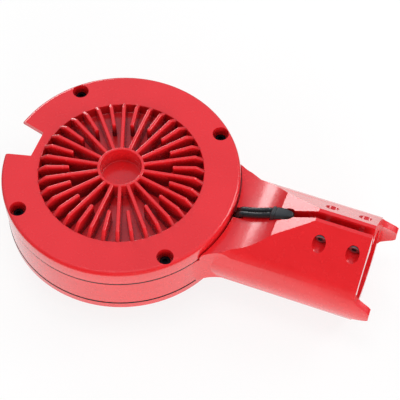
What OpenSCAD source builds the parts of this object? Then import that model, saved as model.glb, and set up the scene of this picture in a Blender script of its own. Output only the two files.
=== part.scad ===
// Blower head for an arm-mounted pet dryer: a flat round fan drum with a finned
// motor cover, on a cast neck that ends in a split clamp socket for a round arm.
// Origin: centre of the socket's mouth. +X leaves the socket, +Z is up.

/* [Drum] */
// Radius of the drum body
body_r = 75; // [72:0.5:82]
// Height of the drum, from the base face to the cover face
drum_h = 41.5; // [41:0.5:48]
// Thickness of the drum's side wall
wall = 4.5; // [3.5:0.25:5.5]
// How far the cover's rim stands out past the body
cover_lip = 0.4; // [0:0.1:0.8]
// Height of the cover's rim band
cover_band = 12; // [11:0.5:13]
// Thickness of the cover's plate
cover_plate = 3.6; // [3.2:0.2:4.4]
// Rounding of the cover's top edge
cover_edge = 2.6; // [1:0.2:3]
// Height of the base cover's band
base_band = 5.2; // [4.4:0.2:6]
// Thickness of the flat gaskets
gasket_t = 0.5; // [0.3:0.1:1]
// How far the gaskets stay back from the drum's side
gasket_inset = 0.7; // [0.3:0.1:1]

/* [Cover fins] */
// Width of the flat rim between the drum's side and the finned well
rim_w = 22.8; // [22:0.2:27]
// Depth of the well below the cover face
well_depth = 7.6; // [6.5:0.2:8]
// How far the well's wall leans inwards from its rim to its foot
well_draft = 3; // [0.5:0.25:4]
// Thickness of the well's floor
well_floor = 3; // [2.4:0.2:3.4]
// Number of long fins; a short fin stands between each two
fin_count = 18; // [12:2:20]
// Thickness of a fin at its crest
fin_t = 1.7; // [1.4:0.1:2.2]
// Thickness of a fin at its root
fin_root_t = 2.7; // [2.3:0.1:3.2]
// Height of the fin tops above the cover face
fin_rise = 4.4; // [2:0.2:6]
// Length over which a fin's outer end slopes down to the cover face
fin_slope = 4.8; // [3:0.2:7]
// Radius at which the short fins start
short_fin_r = 32.4; // [28:0.2:38]
// Outer radius of the ring at the middle of the fins
hub_ring_r = 14.9; // [12:0.1:18]
// Wall of that ring
hub_ring_t = 1.9; // [1.4:0.1:3]

/* [Rim notch and air mouth] */
// Depth of the notch in the cover, from the rim inwards
notch_depth = 17.6; // [12:0.2:18]
// Half width of the notch at its inner edge
notch_inner = 9.6; // [6:0.2:11]
// Half width of the notch at the rim
notch_outer = 14; // [12:0.2:16]
// Half angle of the air mouth in the drum's wall
mouth_angle = 28; // [24:1:32]
// Depth of the air mouth in the base cover, from the rim inwards
mouth_depth = 11; // [8:0.5:12]

/* [Cover and base screws] */
// Distance of these screws in from the drum's side
screw_inset = 6; // [5.8:0.1:6.4]
// Thread diameter of the cover, base and clamp screws
screw_d = 4; // [3:0.5:4]
// Head diameter of a socket head screw
head_d = 7; // [6:0.1:7.4]
// Head height of a socket head screw
head_h = 4; // [3:0.1:4.4]
// Diameter of the recesses for the cover screws
cover_recess_d = 10.4; // [8.6:0.2:10.8]
// Metal left under a cover screw's head
recess_floor = 3; // [2.4:0.2:4]
// Thread engagement of the cover and base screws
thread_len = 9; // [6:0.5:10.5]

/* [Neck] */
// Reach of the neck, from the drum's side to the socket's mouth
neck_len = 88.5; // [86:0.5:110]
// Outside radius of the socket tube
tube_r = 33.3; // [32.4:0.1:36]
// Height of the socket's axis above the base face
tube_z = 18; // [17:0.5:19]
// Height of the ridge above the base face
ridge_z = 61; // [59:0.5:64]
// Half width of the ridge's flat top
ridge_half = 4.7; // [4.2:0.1:6]
// Radius of the saddle's hollow
saddle_r = 65; // [60:1:70]
// Height of the saddle's lowest line above the base face
saddle_z = 33.7; // [33:0.1:34.6]
// Length of the saddle, from the drum's side to its crease
saddle_len = 29.6; // [28:0.2:31]
// Length from the drum's side to the start of the level ridge
ridge_start = 53; // [50:0.5:56]
// Radius of the blends between the drum and the neck
blend_r = 28; // [20:1:34]
// Half angle of the cone that shapes the blends' tops
shoulder_turn = 20; // [16:1:24]

/* [Clamp socket] */
// Diameter of the arm that the socket takes
arm_d = 50; // [44:0.5:52]
// Depth of the socket
socket_depth = 57; // [52:0.5:57.5]
// Width of the slit
slit_w = 4.8; // [4.4:0.1:6]
// Height of the clamp screws above the base face
clamp_z = 51.6; // [51:0.1:52.4]
// Distance of the first clamp screw from the mouth
clamp_first = 8.6; // [7.5:0.1:12]
// Spacing of the clamp screws
clamp_pitch = 21; // [16:0.5:24]
// Diameter of the recesses for the clamp screws and their nuts
clamp_recess_d = 8.3; // [8.3:0.1:8.6]
// Half distance between the floors of those recesses
clamp_grip = 6.4; // [5.6:0.2:7.4]
// Length of the two tabs that key the arm
tab_len = 10.6; // [8:0.2:14]
// Half height of a tab at its root
tab_root = 9.2; // [8:0.2:12]
// Half height of a tab at its tip
tab_tip = 5; // [3:0.5:7]
// Relief of the tabs' inner faces behind the bore
tab_relief = 3.8; // [0.4:0.2:4.6]

/* [Lead] */
// Diameter of one core of the flat twin lead
core_d = 3.7; // [3:0.1:3.8]
// Depth of the lead's run through the drum's wall, below the wall's top
lead_drop = 5.6; // [5.4:0.2:7]
// Width of the boot that holds the lead in the slit
boot_w = 8.2; // [7.8:0.1:8.4]
// Length of the boot
boot_len = 14; // [12:0.5:15]

/* [Motor and fan] */
// Shaft diameter
shaft_d = 5; // [4:0.5:5]
// Bearing outside diameter
bearing_d = 10; // [9:0.5:11]
// Bearing width
bearing_w = 4; // [3:0.5:4]
// Stator outside radius
stator_r = 20; // [18:0.5:20]
// Room below the stator stack for the winding heads and the fan screws
stack_room = 5.6; // [5:0.2:7]
// Number of stator teeth
tooth_count = 12; // [6:3:12]
// Air gap between the stator and the magnets
air_gap = 0.6; // [0.4:0.1:0.8]
// Magnet thickness
magnet_t = 2.4; // [2:0.1:2.8]
// Wall of the rotor bell
bell_t = 1.8; // [1.4:0.1:2.2]
// Gap between the fan and the narrowest place of the scroll
fan_gap = 3.5; // [3:0.1:5.5]
// Number of fan blades
blade_count = 13; // [7:2:17]
// Blade and disc thickness of the fan
fan_t = 1.5; // [1.2:0.1:1.8]
// Radius of the fan's inlet eye
eye_r = 36; // [34:0.5:38]
// Thickness of the intake filter
filter_t = 3; // [2:0.2:3.2]

/* [Hidden] */
$fn = 96;

// Clearances and small allowances
cut = 1;                 // how far a cutter runs past the face that it opens
slip = 0.2;              // free gap round a part that drops into place
thread_gap = 0.02;       // radial gap between a screw and its thread
running = 0.05;          // radial gap of a shaft in its bearing
seat_gap = 0.8;          // gap between the cover's rim and the neck

// Heights in the drum, above the base face
body_z0 = base_band + gasket_t;
cover_z0 = drum_h - cover_band;
body_z1 = cover_z0 - gasket_t;
well_r = body_r - rim_w;
well_z = drum_h - well_depth;
ceiling_z = well_z - well_floor;
plate_z = drum_h - cover_plate;
cover_r = body_r + cover_lip;
bore_r = body_r - wall;
screw_r = body_r - screw_inset;
boss_r = cover_recess_d / 2 + 1;
core_boss_r = screw_d / 2 + 3.5;

// Neck and socket
reach = body_r + neck_len;
crease_x = body_r + saddle_len;
ridge_x = body_r + ridge_start;
saddle_cx = body_r - 12;
saddle_cz = saddle_z + saddle_r;
crease_z = saddle_cz - sqrt(pow(saddle_r, 2) - pow(crease_x - saddle_cx, 2));
socket_floor = reach - socket_depth;
arm_r = arm_d / 2;
tube_low = tube_z - tube_r;
under_x = body_r + 1.5;
blend_bite = 0.15;       // how far the blends bite into the drum and the tube
blend_cy = sqrt(pow(tube_r, 2) - pow(tube_z - body_z0, 2)) + blend_r - 3 * blend_bite;
blend_cx = sqrt(pow(body_r + blend_r - blend_bite, 2) - pow(blend_cy, 2));
clamp_xs = [for (i = [0:1]) reach - clamp_first - i * clamp_pitch];

// Block at the bottom of the socket
block_r = 11.5;
block_len = 12;
pocket_z = tube_z + block_r - 1.1;
sleeve_r = 2;
sleeve_y = 5;

// Lead: a flat twin lead that bends in the plane y = 0
lead_z = body_z1 - lead_drop;
core_pitch = core_d * 0.9;
lead_bend = core_d * 1.5;
drop_bend = core_d * 0.8;
lead_rise_x = cover_r + seat_gap + core_d / 2 + 0.5;
lead_over_r = saddle_r - core_d / 2 - slip;
drop_x = socket_floor - core_d / 2 - 1.8;
boot_x0 = crease_x - 5;
boot_floor = arm_r + tube_z - 2;
recess_end = boot_x0 + boot_len + 0.6;

// Motor stack, from the base up
base_plate = 3;
pocket_r = eye_r + 3;
fan_z0 = base_plate + filter_t + 1.6;
board_t = 1.6;
pad_t = 1.3;
board_z = ceiling_z - pad_t - board_t;
fan_z1 = board_z - 2.4;
cup_floor = 1.8;
hub_z0 = fan_z0 + 0.4;
bell_z0 = hub_z0 + cup_floor;
bell_floor = 2;
bell_z1 = fan_z1 + 1;
housing_z0 = bell_z0 + bell_floor + 0.5;
housing_r = bearing_d / 2 + 2;
stator_z1 = ceiling_z - 3.5;
stator_z0 = bell_z0 + bell_floor + stack_room;
stator_h = stator_z1 - stator_z0;
magnet_r = stator_r + air_gap;
bell_in = magnet_r + magnet_t + 0.05;
bell_r = bell_in + bell_t;
cup_r = bell_r + 0.1 + fan_t;
hub_r = shaft_d / 2 + 2.5;
clip_z = ceiling_z - 1.4;
shaft_top = ceiling_z - 0.3;
fan_screw_d = 2.5;
fan_screw_r = 14;
board_edge = 4;          // from the board's edge to its screws, and to the well's wall
board_r = well_r - board_edge;
board_screw_r = board_r - board_edge;
board_in = cup_r + 1.4;
board_tab_x = bore_r - 3.3;
board_tab_w = 14;
scroll_t = 2;
scroll_gap = 0.3;        // free gap round the scroll liner
scroll_r0 = well_r + well_floor + scroll_gap;
scroll_r1 = screw_r - boss_r - scroll_t - scroll_gap - 0.1;
fan_r = scroll_r0 - fan_gap;

// Puts a part that is drawn about the drum's axis into the row's frame
module at_drum() {
    translate([-reach, 0, -tube_z]) children();
}

// Copies a part to the four screws of the drum
module at_screws() {
    for (i = [0:3]) rotate(45 + 90 * i) translate([screw_r, 0, 0]) children();
}

// Turns a side view, drawn as x and z, into a bar from -half to half along Y
module side_bar(half) {
    translate([0, half, 0]) rotate([90, 0, 0]) linear_extrude(2 * half) children();
}

// ---------- Drum outlines ----------

// Sector on the mouth's side, to cut with
module mouth_sector(half_angle, inner) {
    far = 2 * body_r;
    difference() {
        polygon([[0, 0], far * [-cos(half_angle), sin(half_angle)],
                 [-far, 0], far * [-cos(half_angle), -sin(half_angle)]]);
        if (inner > 0) circle(inner);
    }
}

// Plan of the drum's wall with its four screw bosses, open at the mouth
module wall_plan(outer, hole_r) {
    difference() {
        intersection() {
            circle(outer);
            union() {
                difference() {
                    circle(outer);
                    circle(bore_r);
                }
                at_screws() circle(core_boss_r);
            }
        }
        mouth_sector(mouth_angle, 0);
        at_screws() circle(hole_r);
    }
}

function polar(r, a) = r * [cos(a), sin(a)];

// Radius of the scroll's inner face at a share of its run
function scroll_radius(share) = scroll_r0 + (scroll_r1 - scroll_r0) * share;

// Plan of the scroll liner: a wall that opens steadily from the tongue round to the
// mouth, with a cheek at each end that reaches out to the drum's wall
module scroll_plan() {
    steps = 40;
    back = 1.5;          // the cheeks stay this angle back from the mouth's edges
    cheek = 1.8;         // angle that a cheek takes up
    start = 180 + mouth_angle + back;
    end = 540 - mouth_angle - back;
    reach_r = bore_r - slip;
    polygon(concat(
        [for (i = [0:steps]) polar(scroll_radius(i / steps), start + (end - start) * i / steps)],
        [polar(reach_r, end), polar(reach_r, end - cheek), polar(scroll_r1 + scroll_t, end - cheek)],
        [for (i = [steps - 1:-1:1])
            polar(scroll_radius(i / steps) + scroll_t, start + (end - start) * i / steps)],
        [polar(scroll_r0 + scroll_t, start + cheek), polar(reach_r, start + cheek), polar(reach_r, start)]
    ));
}

// ---------- Neck ----------

// Side view of the neck: saddle, facet and ridge above, a sloped start below
module neck_side() {
    // The facet's line runs on past the crease, where the hollow takes it off
    slope = (ridge_z - crease_z) / (ridge_x - crease_x);
    past_x = (saddle_cx + crease_x) / 2;
    past_z = crease_z - slope * (crease_x - past_x);
    difference() {
        polygon([[0, body_z0], [under_x, body_z0],
                 [under_x + body_z0 - tube_low, tube_low], [reach, tube_low],
                 [reach, ridge_z], [ridge_x, ridge_z], [past_x, past_z], [0, past_z]]);
        translate([saddle_cx, saddle_cz]) circle(saddle_r, $fn = 180);
    }
}

// Section of the neck: a round tube with flanks that run up to the ridge
module neck_section(r) {
    // The flanks bite a little into the round, so that the two surfaces cross cleanly
    flank_r = r - 0.12;
    rise = ridge_z - tube_z;
    far = norm([ridge_half, rise]);
    turn = atan2(rise, ridge_half) - acos(flank_r / far);
    touch = flank_r * [cos(turn), sin(turn)];
    circle(r);
    polygon([[ridge_half, rise], touch, [-touch.x, touch.y], [-ridge_half, rise]]);
}

// Plan of the blends that carry the drum's wall into the neck
module blend_plan() {
    difference() {
        polygon([[0, 0], [blend_cx, blend_cy], [blend_cx, -blend_cy]]);
        for (s = [-1, 1]) translate([blend_cx, s * blend_cy]) circle(blend_r);
    }
}

// Cone that trims the top of the blends: it lies just inside the tube at the blends'
// end and opens towards the drum
module blend_shoulder() {
    sunk = 0.3;
    translate([blend_cx, 0, tube_z]) rotate([0, -90, 0])
        cylinder(h = blend_cx, r1 = tube_r - sunk,
                 r2 = tube_r - sunk + blend_cx * tan(shoulder_turn));
}

module neck_solid() {
    intersection() {
        side_bar(2 * tube_r) neck_side();
        union() {
            translate([0, 0, tube_z]) rotate([90, 0, 90])
                linear_extrude(reach) neck_section(tube_r);
            intersection() {
                translate([0, 0, body_z0]) linear_extrude(drum_h) blend_plan();
                blend_shoulder();
            }
        }
    }
}

// The two tabs at the mouth, cut from the tube's own wall
module mouth_tabs() {
    root = 1.6;
    corner = 1.6;
    intersection() {
        translate([reach - 1, 0, tube_z]) rotate([0, 90, 0]) difference() {
            cylinder(h = tab_len + 1, r = tube_r);
            translate([0, 0, -cut]) cylinder(h = tab_len + 1 + 2 * cut, r = arm_r + tab_relief);
        }
        side_bar(2 * tube_r) translate([reach, tube_z])
            polygon([[-1, -tab_root - 1.4 * root], [0, -tab_root - 1.4 * root], [root, -tab_root],
                     [tab_len - corner, -tab_tip], [tab_len, -tab_tip + corner],
                     [tab_len, tab_tip - corner], [tab_len - corner, tab_tip],
                     [root, tab_root], [0, tab_root + 1.4 * root], [-1, tab_root + 1.4 * root]]);
    }
}

// ---------- Lead ----------

// Points of an arc in the plane y = 0, each with the heading of the lead there
function lead_bend_points(c, r, a0, a1, first, last) = [for (i = [first:last])
    let (a = a0 + (a1 - a0) * i / last)
    [c.x + r * cos(a), c.y + r * sin(a), a + (a1 > a0 ? 90 : -90)]];

// Headings where the lead comes down onto the saddle and where it leaves it again
lead_down = asin((lead_rise_x + lead_bend - saddle_cx) / (lead_over_r + lead_bend));
lead_end = asin((drop_x - drop_bend - saddle_cx) / (lead_over_r + drop_bend));
lead_top_z = saddle_cz - (lead_over_r + lead_bend) * cos(lead_down);
drop_top_z = saddle_cz - (lead_over_r + drop_bend) * cos(lead_end);

// Route of the lead: out through the drum's wall, up past the cover, along the
// saddle and down through the boot to the contact block
lead_path = concat(
    [[board_tab_x, lead_z, 0]],
    lead_bend_points([lead_rise_x - lead_bend, lead_z + lead_bend], lead_bend, -90, 0, 0, 4),
    lead_bend_points([lead_rise_x + lead_bend, lead_top_z], lead_bend, 180, 90 + lead_down, 0, 4),
    lead_bend_points([saddle_cx, saddle_cz], lead_over_r, lead_down - 90, lead_end - 90, 1, 6),
    lead_bend_points([drop_x - drop_bend, drop_top_z], drop_bend, 90 + lead_end, 0, 1, 5),
    [[drop_x, pocket_z, -90]]
);

// Outline of the flat twin lead: two rounds that run into each other
lobe = 180 - acos(core_pitch / core_d);
lead_outline = concat(
    [for (i = [0:8]) let (a = -lobe + lobe * i / 4)
        [core_pitch / 2 + core_d / 2 * cos(a), core_d / 2 * sin(a)]],
    [for (i = [1:7]) let (a = 180 - lobe + lobe * i / 4)
        [-core_pitch / 2 + core_d / 2 * cos(a), core_d / 2 * sin(a)]]
);

// Passages of the lead in the casting
module lead_cuts() {
    half_t = core_d / 2 + 0.4;
    half_w = (core_pitch + core_d) / 2 + 0.4;
    translate([board_tab_x - cut, -half_w, lead_z - half_t])
        cube([lead_rise_x + half_t - board_tab_x + cut, 2 * half_w, 2 * half_t]);
    translate([cover_r, -half_w, lead_z - half_t])
        cube([lead_rise_x + half_t - cover_r, 2 * half_w, ridge_z]);
    translate([cover_r, -half_w, lead_top_z - 0.3])
        cube([lead_rise_x + half_t + 2 - cover_r, 2 * half_w, ridge_z]);
    translate([drop_x - half_t, -half_w, pocket_z])
        cube([2 * half_t, 2 * half_w, boot_floor - pocket_z + cut]);
    translate([0, 0, boot_floor]) linear_extrude(ridge_z) boot_plan(slip / 2, recess_end);
}

// Plan of the boot or of its recess: straight sides and a round nose
module boot_plan(gap, end_x) {
    half = boot_w / 2 + gap;
    translate([boot_x0, -half]) square([end_x - half - boot_x0, 2 * half]);
    translate([end_x - half, 0]) circle(half);
}

// ---------- Housing parts ----------

module body_casting() {
    color([0.88, 0.20, 0.22]) at_drum() difference() {
        union() {
            translate([0, 0, body_z0]) linear_extrude(body_z1 - body_z0)
                wall_plan(body_r, screw_d / 2 + thread_gap);
            difference() {
                neck_solid();
                // Inside of the drum
                translate([0, 0, -cut]) cylinder(h = ridge_z, r = bore_r);
                // Seat of the cover
                translate([0, 0, body_z1]) cylinder(h = ridge_z, r = cover_r + seat_gap);
            }
            mouth_tabs();
        }
        socket_cuts();
        lead_cuts();
    }
}

// Bore, slit and clamp screw holes of the socket
module socket_cuts() {
    translate([socket_floor, 0, tube_z]) rotate([0, 90, 0]) cylinder(h = socket_depth + cut, r = arm_r);
    translate([socket_floor - block_len - slip, 0, tube_z]) rotate([0, 90, 0])
        cylinder(h = block_len + slip + cut, r = block_r + slip);
    translate([socket_floor, -slit_w / 2, tube_z]) cube([socket_depth + cut, slit_w, ridge_z]);
    for (x = clamp_xs) {
        translate([x, 0, clamp_z]) rotate([90, 0, 0])
            cylinder(h = 2 * tube_r, r = screw_d / 2 + slip, center = true);
        for (s = [-1, 1]) translate([x, s * (clamp_grip + tube_r), clamp_z]) rotate([90, 0, 0])
            cylinder(h = 2 * tube_r, r = clamp_recess_d / 2, center = true);
    }
}

module scroll_liner() {
    color([0.20, 0.20, 0.21]) at_drum() difference() {
        translate([0, 0, base_band]) linear_extrude(plate_z - slip - base_band) scroll_plan();
        // The cover's skirt stands over the cheeks, and the board's tab passes through the wall
        translate([0, 0, body_z1]) linear_extrude(drum_h) difference() {
            circle(2 * body_r);
            circle(bore_r - 4);
        }
        translate([fan_r, -board_tab_w / 2 - slip, board_z - slip])
            cube([board_tab_x, board_tab_w + 2 * slip, drum_h]);
    }
}

module finned_cover() {
    color([0.91, 0.25, 0.28]) at_drum() difference() {
        union() {
            rotate_extrude($fn = 180) cover_profile();
            translate([0, 0, cover_z0]) linear_extrude(plate_z - cover_z0) {
                difference() {
                    circle(cover_r, $fn = 180);
                    circle(bore_r);
                }
                at_screws() circle(boss_r);
            }
            for (i = [0:fin_count - 1]) rotate(360 / fin_count * (i + 0.5)) fin(hub_ring_r - hub_ring_t / 2);
            for (i = [0:fin_count - 1]) rotate(360 / fin_count * i) fin(short_fin_r);
            hub_ring();
            motor_housing();
        }
        at_screws() {
            translate([0, 0, cover_z0 + recess_floor]) cylinder(h = drum_h, r = cover_recess_d / 2);
            translate([0, 0, cover_z0 - cut]) cylinder(h = drum_h, r = screw_d / 2 + slip);
        }
        rim_notch();
        // The air mouth runs up to the underside of the cover's plate
        translate([0, 0, cover_z0 - cut]) linear_extrude(plate_z - cover_z0 + cut)
            mouth_sector(mouth_angle, well_r + well_floor + scroll_gap);
        for (i = [0:3]) rotate(90 * i) translate([board_screw_r, 0, ceiling_z - cut])
            cylinder(h = cut + 2, r = fan_screw_d / 2 + thread_gap);
    }
}

// Half section of the cover's plate with its round edge, and of the sunk well
module cover_profile() {
    translate([0, ceiling_z]) square([well_r + well_floor, well_floor]);
    polygon([[well_r - well_draft, well_z], [well_r - well_draft, ceiling_z],
             [well_r + well_floor, ceiling_z], [well_r + well_floor, drum_h], [well_r, drum_h]]);
    translate([well_r, plate_z]) square([cover_r - cover_edge - well_r, cover_plate]);
    translate([well_r, plate_z]) square([cover_r - well_r, cover_plate - cover_edge]);
    intersection() {
        translate([cover_r - cover_edge, drum_h - cover_edge]) circle(cover_edge);
        translate([cover_r - cover_edge, drum_h - cover_edge]) square(cover_edge);
    }
}

// One fin on the well's floor; its outer end slopes down into the cover face
module fin(start_r) {
    root = 0.6;
    top = drum_h + fin_rise;
    end_r = well_r + root;
    fall = fin_rise / (end_r - well_r + fin_slope);
    // Draft of the casting: each flank leans in by this much for each unit of height
    lean = (fin_root_t - fin_t) / 2 / (top - well_z);
    foot_half = fin_root_t / 2 + (cut + root) * lean;
    crest_half = fin_t / 2 - cut * lean;
    intersection() {
        side_bar(fin_root_t) polygon([[start_r, well_z - root], [start_r, top],
            [well_r - fin_slope, top], [end_r + root, drum_h - root * fall],
            [end_r + root, well_z - root]]);
        rotate([90, 0, 90]) linear_extrude(cover_r)
            polygon([[-foot_half, well_z - root - cut], [foot_half, well_z - root - cut],
                     [crest_half, top + cut], [-crest_half, top + cut]]);
    }
}

module hub_ring() {
    translate([0, 0, well_z - 0.5]) difference() {
        cylinder(h = well_depth + fin_rise + 0.5, r = hub_ring_r);
        translate([0, 0, 0.5]) cylinder(h = drum_h, r = hub_ring_r - hub_ring_t);
    }
}

// Bearing housing under the cover, which also carries the stator
module motor_housing() {
    difference() {
        union() {
            translate([0, 0, housing_z0]) cylinder(h = ceiling_z - housing_z0 + 0.5, r = housing_r);
            translate([0, 0, stator_z1]) cylinder(h = ceiling_z - stator_z1 + 0.5, r = housing_r + 1.6);
        }
        translate([0, 0, housing_z0 - cut]) cylinder(h = bearing_w + cut, r = bearing_d / 2);
        translate([0, 0, housing_z0]) cylinder(h = ceiling_z - housing_z0, r = bearing_d / 2 - 0.8);
        translate([0, 0, ceiling_z - 1.6 - bearing_w]) cylinder(h = bearing_w + 1.6, r = bearing_d / 2);
    }
}

// Wedge-shaped notch in the rim, opposite the neck
module rim_notch() {
    inner_x = cover_r - notch_depth;
    grow = (notch_outer - notch_inner) / (body_r - inner_x);
    far = cover_r + 5;
    far_half = notch_inner + grow * (far - inner_x);
    translate([0, 0, cover_z0 - cut]) linear_extrude(drum_h)
        polygon([[-inner_x, -notch_inner], [-far, -far_half], [-far, far_half], [-inner_x, notch_inner]]);
}

module base_cover() {
    color([0.86, 0.19, 0.21]) at_drum() difference() {
        union() {
            cylinder(h = base_band, r = body_r, $fn = 180);
            cylinder(h = base_band + 1.7, r = pocket_r);
        }
        translate([0, 0, base_plate]) cylinder(h = drum_h, r = eye_r + 1);
        translate([0, 0, -cut]) linear_extrude(base_plate + 2 * cut) grille_plan();
        translate([0, 0, -cut]) linear_extrude(drum_h)
            mouth_sector(mouth_angle, body_r - mouth_depth);
        at_screws() {
            translate([0, 0, -cut]) cylinder(h = drum_h, r = screw_d / 2 + slip);
            translate([0, 0, -0.01]) cylinder(h = screw_d / 2 + 0.21, r1 = screw_d + 0.2, r2 = screw_d / 2);
        }
    }
}

// Openings of the intake grille: rings cut up by spokes
module grille_plan() {
    rings = 4;
    gap = 3.2;
    inner = 12;
    pitch = (eye_r - 1 - inner) / rings;
    difference() {
        for (i = [0:rings - 1]) difference() {
            circle(inner + i * pitch + gap);
            circle(inner + i * pitch);
        }
        for (i = [0:5]) rotate(60 * i) translate([0, -1.5]) square([eye_r + 5, 3]);
    }
}

module cover_gasket() {
    color([0.13, 0.13, 0.14]) at_drum() translate([0, 0, body_z1]) linear_extrude(gasket_t)
        wall_plan(body_r - gasket_inset, screw_d / 2 + slip);
}

module base_gasket() {
    color([0.13, 0.13, 0.14]) at_drum() translate([0, 0, base_band]) linear_extrude(gasket_t)
        wall_plan(body_r - gasket_inset, screw_d / 2 + slip);
}

// ---------- Fasteners ----------

// Socket head screw, head up, seated at z = 0
module socket_screw(length) {
    difference() {
        union() {
            cylinder(h = head_h, r = head_d / 2);
            translate([0, 0, -length]) cylinder(h = length + 0.1, r = screw_d / 2);
        }
        translate([0, 0, head_h / 2]) cylinder(h = head_h, r = head_d * 0.25, $fn = 6);
    }
}

module cover_screws() {
    color([0.10, 0.10, 0.11]) at_drum() at_screws() translate([0, 0, cover_z0 + recess_floor])
        socket_screw(recess_floor + gasket_t + thread_len);
}

module base_screws() {
    length = base_band + gasket_t + thread_len;
    color([0.10, 0.10, 0.11]) at_drum() at_screws() difference() {
        union() {
            cylinder(h = screw_d / 2, r1 = screw_d, r2 = screw_d / 2);
            cylinder(h = length, r = screw_d / 2);
        }
        translate([0, 0, -cut]) cylinder(h = 1.4 + cut, r = screw_d * 0.36, $fn = 6);
    }
}

module clamp_screws() {
    color([0.72, 0.73, 0.75]) at_drum() for (x = clamp_xs)
        translate([x, -clamp_grip, clamp_z]) rotate([90, 0, 0]) socket_screw(2 * clamp_grip + head_h);
}

module clamp_nuts() {
    nut_h = 3.2;
    across = head_d + 1;
    color([0.72, 0.73, 0.75]) at_drum() for (x = clamp_xs)
        translate([x, clamp_grip, clamp_z]) rotate([-90, 0, 0]) difference() {
            cylinder(h = nut_h, r = across / 2, $fn = 6);
            translate([0, 0, -cut]) cylinder(h = nut_h + 2 * cut, r = screw_d / 2 + thread_gap);
        }
}

// ---------- Lead and contacts ----------

module power_lead() {
    n = len(lead_outline);
    rings = len(lead_path);
    points = [for (p = lead_path) for (q = lead_outline)
        [p.x - q.y * sin(p.z), q.x, p.y + q.y * cos(p.z)]];
    sides = [for (i = [0:rings - 2]) for (j = [0:n - 1])
        [i * n + j, (i + 1) * n + j, (i + 1) * n + (j + 1) % n, i * n + (j + 1) % n]];
    first = [for (j = [0:n - 1]) j];
    last = [for (j = [n - 1:-1:0]) (rings - 1) * n + j];
    color([0.09, 0.09, 0.10]) at_drum() polyhedron(points, concat([first], sides, [last]));
}

// Boot that is moulded on the lead and wedged in the head of the slit
module lead_boot() {
    x1 = boot_x0 + boot_len;
    step_x = socket_floor - slip;
    step_z = tube_z + arm_r + 1;
    crown = 1.1;
    color([0.11, 0.11, 0.12]) at_drum() intersection() {
        translate([0, 0, boot_floor]) linear_extrude(ridge_z) boot_plan(-slip / 2, x1);
        side_bar(boot_w) polygon([[boot_x0 + 0.02, boot_floor + 0.1], [step_x, boot_floor + 0.1],
            [step_x, step_z], [x1, step_z], [x1, crease_z + crown + 2.6],
            [crease_x + 1, crease_z + crown], [boot_x0 + 1.2, crease_z + crown - 0.6],
            [boot_x0 + 0.02, crease_z - 0.8]]);
    }
}

module contact_block() {
    color([0.16, 0.16, 0.17]) at_drum() difference() {
        translate([socket_floor - block_len, 0, tube_z]) rotate([0, 90, 0])
            cylinder(h = block_len, r = block_r);
        for (s = [-1, 1]) translate([socket_floor - block_len + 3, s * sleeve_y, tube_z]) rotate([0, 90, 0])
            cylinder(h = block_len, r = sleeve_r + thread_gap);
        // Pocket where the lead comes in from above
        translate([drop_x - 3, -core_d - 0.4, pocket_z]) cube([6, 2 * core_d + 0.8, 4]);
    }
}

module contact_sleeves() {
    color([0.80, 0.64, 0.30]) at_drum() for (s = [-1, 1])
        translate([socket_floor - block_len + 3, s * sleeve_y, tube_z]) rotate([0, 90, 0]) difference() {
            cylinder(h = block_len - 3, r = sleeve_r);
            translate([0, 0, 2]) cylinder(h = block_len, r = sleeve_r - 0.6);
        }
}

// Block under the board's tab that takes the inner end of the lead
module terminal_block() {
    color([0.18, 0.36, 0.20]) at_drum() translate([board_tab_x - 6.2, -6, lead_z - 3])
        difference() {
            cube([6.2, 12, board_z - lead_z + 3]);
            for (s = [-1, 1]) translate([-cut, s * 3 + 6, 1.6]) cube([2.4, 2.4, 2.4]);
        }
}

// ---------- Electronics ----------

module board_plan() {
    difference() {
        union() {
            circle(board_r);
            translate([0, -board_tab_w / 2]) square([board_tab_x, board_tab_w]);
        }
        circle(board_in);
        for (i = [0:3]) rotate(90 * i) translate([board_screw_r, 0]) circle(fan_screw_d / 2 + slip);
    }
}

module drive_board() {
    color([0.10, 0.32, 0.20]) at_drum() translate([0, 0, board_z]) linear_extrude(board_t)
        board_plan();
}

module board_screws() {
    color([0.70, 0.71, 0.73]) at_drum() for (i = [0:3]) rotate(90 * i)
        translate([board_screw_r, 0, board_z]) {
            translate([0, 0, -1.2]) cylinder(h = 1.2, r = fan_screw_d);
            cylinder(h = board_t + pad_t + 1.8, r = fan_screw_d / 2);
        }
}

module thermal_pad() {
    color([0.55, 0.58, 0.62]) at_drum() translate([0, 0, board_z + board_t]) linear_extrude(pad_t)
        difference() {
            circle(board_r - 0.5);
            circle(board_in + 0.5);
            for (i = [0:3]) rotate(90 * i) translate([board_screw_r, 0]) circle(fan_screw_d / 2 + slip);
        }
}

// ---------- Motor ----------

// Plan of the stator: a ring, its teeth and their shoes
module stator_plan() {
    shoe = 1.6;
    difference() {
        union() {
            circle(housing_r + 3);
            for (i = [0:tooth_count - 1]) rotate(360 / tooth_count * i)
                translate([0, -1.3]) square([stator_r - shoe / 2, 2.6]);
            difference() {
                circle(stator_r);
                circle(stator_r - shoe);
                for (i = [0:tooth_count - 1]) rotate(360 / tooth_count * (i + 0.5))
                    translate([0, -0.9]) square([stator_r + 2, 1.8]);
            }
        }
        circle(housing_r + thread_gap);
    }
}

module stator_core() {
    color([0.45, 0.46, 0.48]) at_drum() translate([0, 0, stator_z0]) linear_extrude(stator_h) stator_plan();
}

// One coil round each tooth
module stator_windings() {
    inner = housing_r + 3.4;
    length = stator_r - 2 - inner;
    turns = 1.1;
    over = 2;
    color([0.72, 0.42, 0.20]) at_drum() for (i = [0:tooth_count - 1]) rotate(360 / tooth_count * i)
        translate([inner, 0, stator_z0]) difference() {
            translate([0, -1.35 - turns, -over]) cube([length, 2.7 + 2 * turns, stator_h + 2 * over]);
            translate([-cut, -1.35, -0.05]) cube([length + 2 * cut, 2.7, stator_h + 0.1]);
        }
}

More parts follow.
